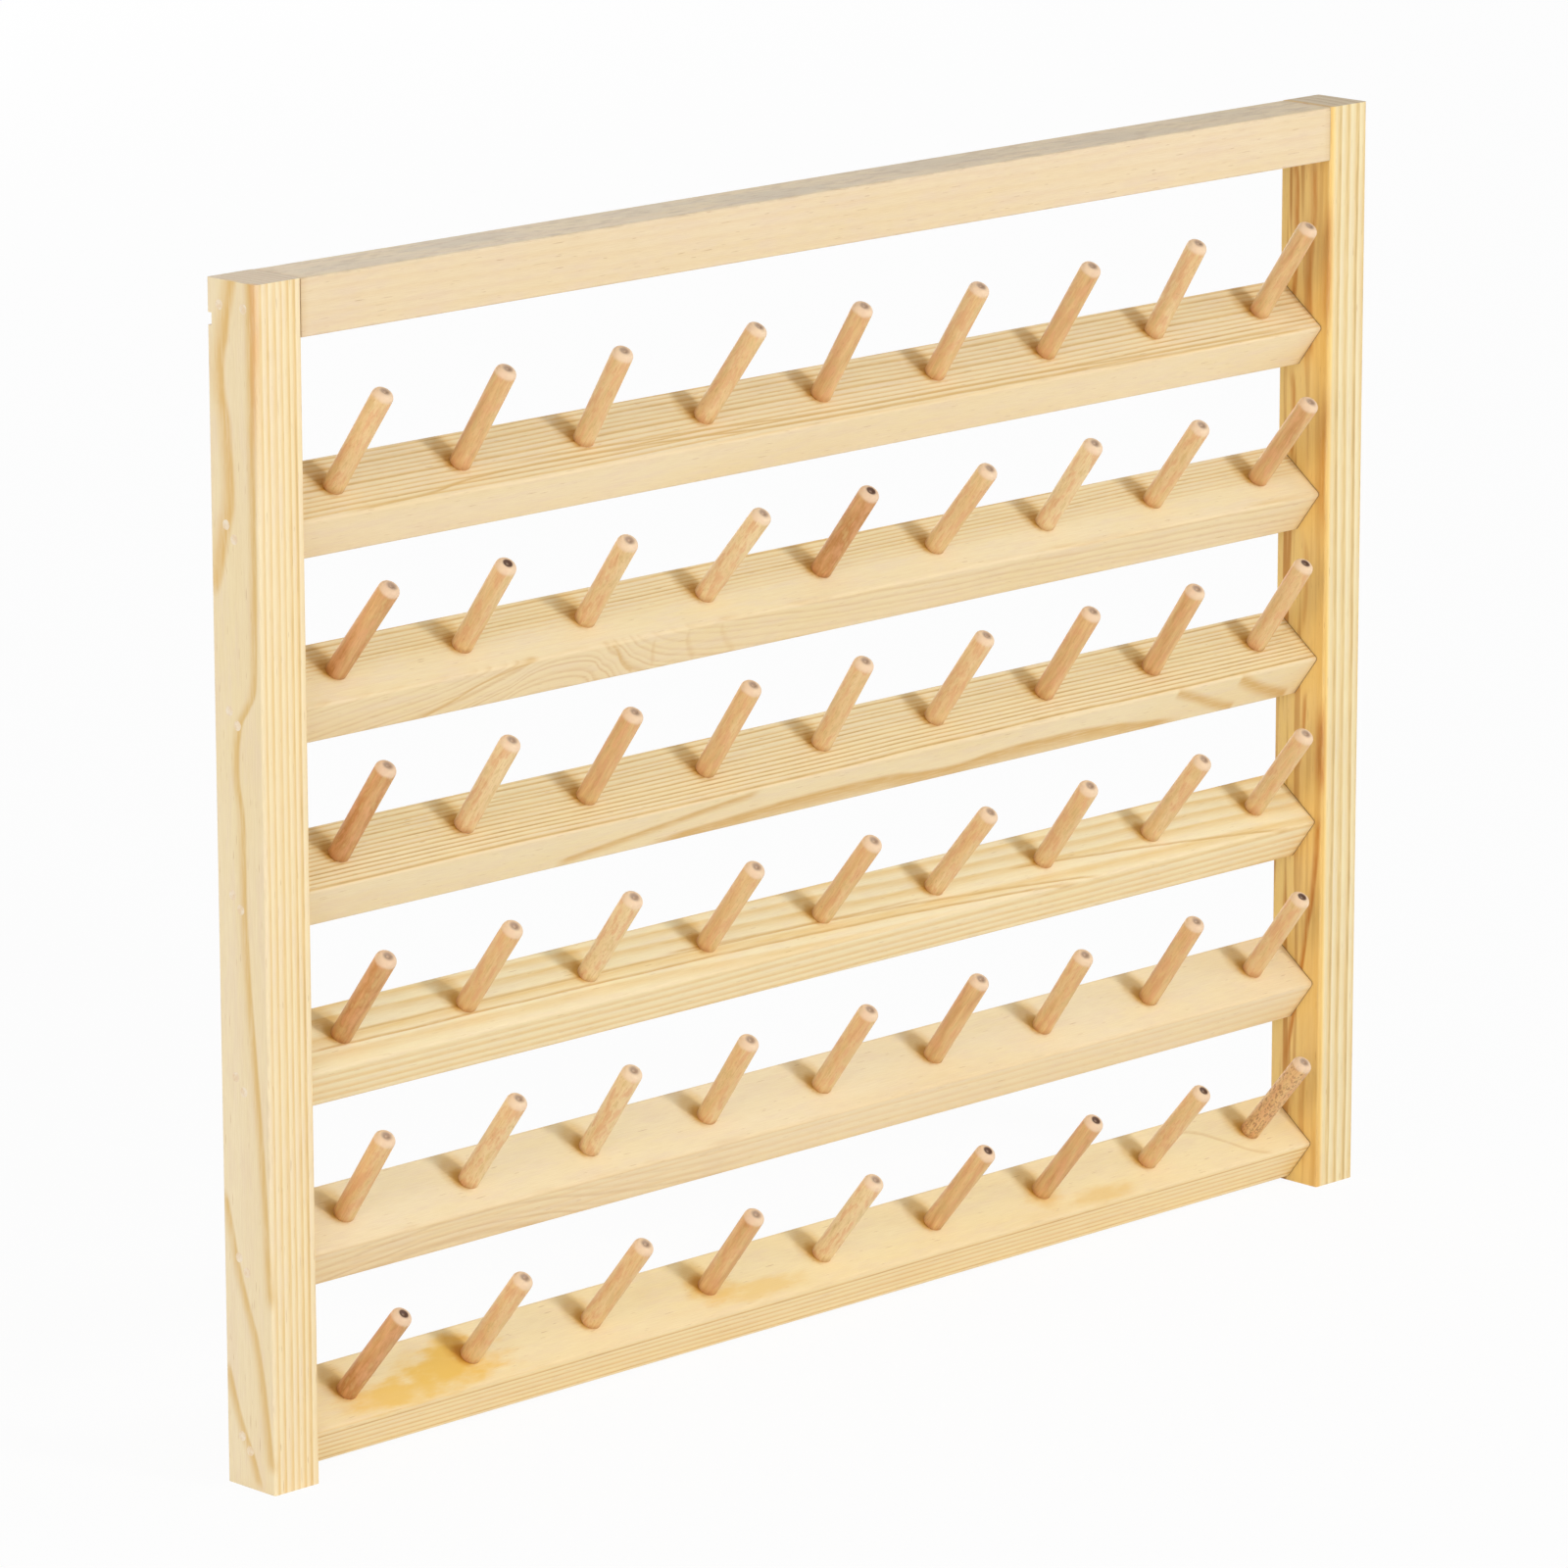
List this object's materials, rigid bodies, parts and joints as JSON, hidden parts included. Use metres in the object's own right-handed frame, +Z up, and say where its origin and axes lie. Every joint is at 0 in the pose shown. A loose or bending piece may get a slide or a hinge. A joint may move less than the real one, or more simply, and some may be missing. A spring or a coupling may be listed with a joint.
{
  "type": "thread rack",
  "caption": "Wall-hung rack for spools of sewing thread: a softwood frame with rows of tilted slats that carry round wooden pegs, and ring hangers on its back.",
  "frame": {"origin": "centre of the top rail's back face, in the plane of the posts' backs, which faces the wall", "axes": "+X along the rack, to the right as seen from the front; +Y to the wall; +Z up; the pegs point forward to -Y and up"},
  "size_m": [0.41, 0.0329, 0.312],
  "materials": {
    "top_rail_pine": "bare planed pine",
    "slat_1_pine": "bare planed pine",
    "slat_2_pine": "bare planed pine",
    "slat_3_pine": "bare planed pine",
    "slat_4_pine": "bare planed pine",
    "slat_5_pine": "bare planed pine",
    "slat_6_pine": "bare planed pine",
    "peg_beech": "bare sanded beech dowel",
    "left_post_pine": "bare planed pine",
    "right_post_pine": "bare planed pine",
    "brad_steel": "bright steel",
    "filler_putty": "dried wood putty, sanded flush",
    "hanger_plate_steel": "zinc plated, stamped",
    "hanger_ring_steel": "zinc plated wire",
    "hanger_screw_steel": "zinc plated"
  },
  "bodies": {
    "rack": {"top_rail": "top_rail_pine", "slat_1": "slat_1_pine", "slat_2": "slat_2_pine", "slat_3": "slat_3_pine", "slat_4": "slat_4_pine", "slat_5": "slat_5_pine", "slat_6": "slat_6_pine", "pegs_row_1": "peg_beech", "pegs_row_2": "peg_beech", "pegs_row_3": "peg_beech", "pegs_row_4": "peg_beech", "pegs_row_5": "peg_beech", "pegs_row_6": "peg_beech", "left_post": "left_post_pine", "left_brads": "brad_steel", "left_fillers": "filler_putty", "left_hanger_plate": "hanger_plate_steel", "left_hanger_screw": "hanger_screw_steel", "right_post": "right_post_pine", "right_brads": "brad_steel", "right_fillers": "filler_putty", "right_hanger_plate": "hanger_plate_steel", "right_hanger_screw": "hanger_screw_steel"},
    "left_ring": {"left_hanger_ring": "hanger_ring_steel"},
    "right_ring": {"right_hanger_ring": "hanger_ring_steel"}
  },
  "joints": [
    {"name": "left_ring_hinge", "type": "hinge", "parent": "rack", "child": "left_ring", "pos_m": [-0.198, 0.0019, -0.0125], "axis": [1, 0, 0], "range_deg": [0, 180]},
    {"name": "right_ring_hinge", "type": "hinge", "parent": "rack", "child": "right_ring", "pos_m": [0.198, 0.0019, -0.0125], "axis": [1, 0, 0], "range_deg": [0, 180]}
  ]
}
